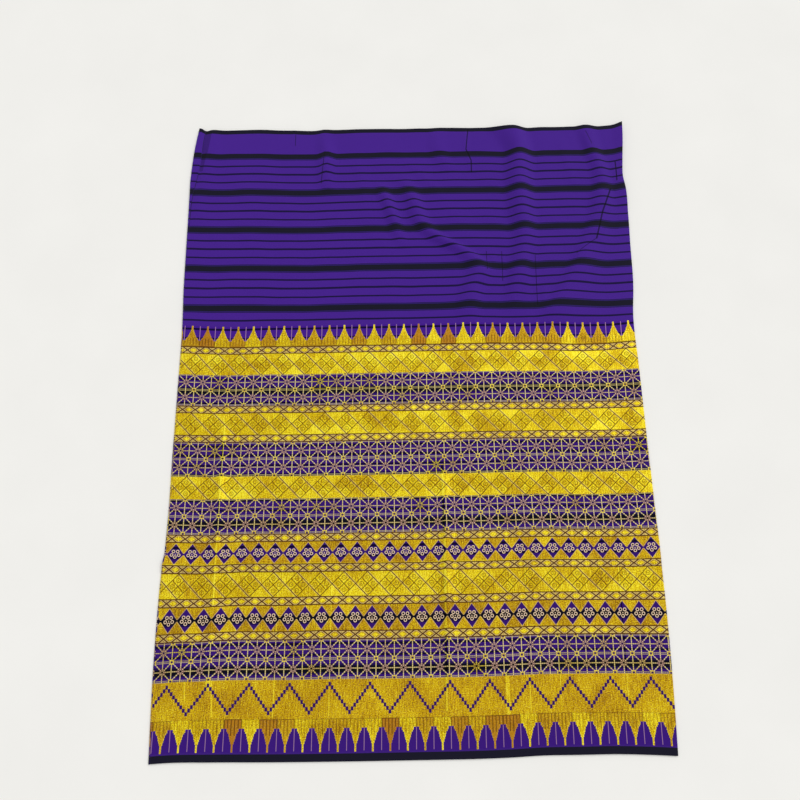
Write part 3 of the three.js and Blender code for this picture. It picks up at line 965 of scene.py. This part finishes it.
kinds = sorted({name for name, _, _ in BANDS})
for name in kinds:
    cloth_mesh.materials.append(bpy.data.materials[name])
band_kind = np.array([kinds.index(name) for name, _, _ in BANDS])
cloth_mesh.polygons.foreach_set("material_index", band_kind[face_band])


# Side seam
# The two cut ends of the cloth are joined right sides together by a row of short purple
# stitches, which show as small dents of thread along the seam.

STITCH_PITCH = 3.4 * MM
STITCH_LENGTH = 2.4 * MM
STITCH_THICKNESS = 0.5 * MM

thread = bpy.data.materials.new("purple sewing thread")
thread.use_nodes = True
tree = thread.node_tree
place = add(tree, "ShaderNodeTexCoord").outputs["Object"]
fibre = add(tree, NOISE, {"Vector": place, "Scale": 900.0, "Detail": 1.0})
stops = [(0.3, linear("#1C0E49")), (0.7, linear("#3A2082"))]
colour = set_ramp(add(tree, RAMP, {0: fibre}), stops)
rough = add(tree, MATH, {0: fibre, 1: 0.2, 2: 0.6}, "MULTIPLY_ADD")
shader = tree.nodes["Principled BSDF"]
tree.links.new(colour.outputs[0], shader.inputs["Base Color"])
tree.links.new(rough.outputs[0], shader.inputs["Roughness"])

sewing, given = new_group(
    "Seam stitches",
    {"Seam": "Geometry", "Pitch": "Float", "Length": "Float", "Thickness": "Float",
     "Thread": "Material"},
    {"Stitches": "Geometry"},
    "GeometryNodeTree",
)
seam_line = add(sewing, "GeometryNodeMeshToCurve", {"Mesh": given["Seam"]})
places = add(
    sewing, "GeometryNodeResampleCurve", {"Curve": seam_line, "Length": given["Pitch"]}, mode="LENGTH")
tangent = add(sewing, "GeometryNodeInputTangent")
turned = add(sewing, "FunctionNodeAlignRotationToVector", {"Vector": tangent}, axis="Z")
size = add(sewing, "ShaderNodeCombineXYZ", {0: given["Thickness"], 1: given["Thickness"], 2: given["Length"]})
stitch = add(sewing, "GeometryNodeMeshUVSphere", {"Segments": 8, "Rings": 5, "Radius": 0.5})
sewn = add(sewing, "GeometryNodeInstanceOnPoints", {
    "Points": places, "Instance": stitch, "Rotation": turned, "Scale": size,
})
sewn = add(sewing, "GeometryNodeRealizeInstances", {"Geometry": sewn})
sewn = add(sewing, "GeometryNodeSetMaterial", {"Geometry": sewn, "Material": given["Thread"]})
add(sewing, "NodeGroupOutput", {"Stitches": sewn})

seam_mesh = bpy.data.meshes.new("seam_line")
steps = np.arange(len(seam_points) - 1)
seam_mesh.from_pydata(seam_points * MM, np.stack([steps, steps + 1], 1), [])
seam = put("seam_line", seam_mesh)
modifier = seam.modifiers.new("Stitches", "NODES")
modifier.node_group = sewing
values = {"Pitch": STITCH_PITCH, "Length": STITCH_LENGTH, "Thickness": STITCH_THICKNESS, "Thread": thread}
for item in sewing.interface.items_tree:
    if item.name in values:
        modifier[item.identifier] = values[item.name]
evaluated = seam.evaluated_get(bpy.context.evaluated_depsgraph_get())
stitch_mesh = bpy.data.meshes.new_from_object(evaluated)
stitches = put("tapis_seam_stitches", stitch_mesh)
bpy.data.objects.remove(seam)

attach(skirt, "root")
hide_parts("tapis_skirt")
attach(stitches, "root")


# Floor, light and camera
# The skirt lies on a pale table under soft light and is seen from above, a little from the hem.

paper = bpy.data.materials.new("pale table")
paper.use_nodes = True
tree = paper.node_tree
place = add(tree, "ShaderNodeTexCoord").outputs["Object"]
fibre = add(tree, NOISE, {"Vector": place, "Scale": 6.0, "Detail": 3.0})
stops = [(0.3, linear("#F2F1EB")), (0.7, linear("#F5F4EE"))]
colour = set_ramp(add(tree, RAMP, {0: fibre}), stops)
shader = tree.nodes["Principled BSDF"]
tree.links.new(colour.outputs[0], shader.inputs["Base Color"])
shader.inputs["Roughness"].default_value = 0.9
shader.inputs["Specular IOR Level"].default_value = 0.1
floor_mesh = bpy.data.meshes.new("table")
floor_mesh.from_pydata([(-6, -6, 0), (6, -6, 0), (6, 6, 0), (-6, 6, 0)], [], [(0, 1, 2, 3)])
floor_mesh.materials.append(paper)
floor = put("table", floor_mesh)

sky = bpy.data.worlds.new("studio")
sky.use_nodes = True
sky.node_tree.nodes["Background"].inputs["Color"].default_value = linear("#FCFCFF")
sky.node_tree.nodes["Background"].inputs["Strength"].default_value = 0.66
bpy.context.scene.world = sky

key = bpy.data.lights.new("key_light", "SUN")
key.energy = 1.5
key.angle = math.radians(30)
key_lamp = put("key_light", key)
key_lamp.rotation_euler = (math.radians(-30), math.radians(38), 0)

lens = bpy.data.cameras.new("camera")
lens.lens = 27
lens.sensor_width = 36
camera = put("camera", lens)
camera.location = (-0.017, -0.2305, 1.0642)
camera.rotation_euler = (math.radians(12.77), 0, 0)
bpy.context.scene.camera = camera
bpy.context.scene.view_settings.view_transform = "Standard"
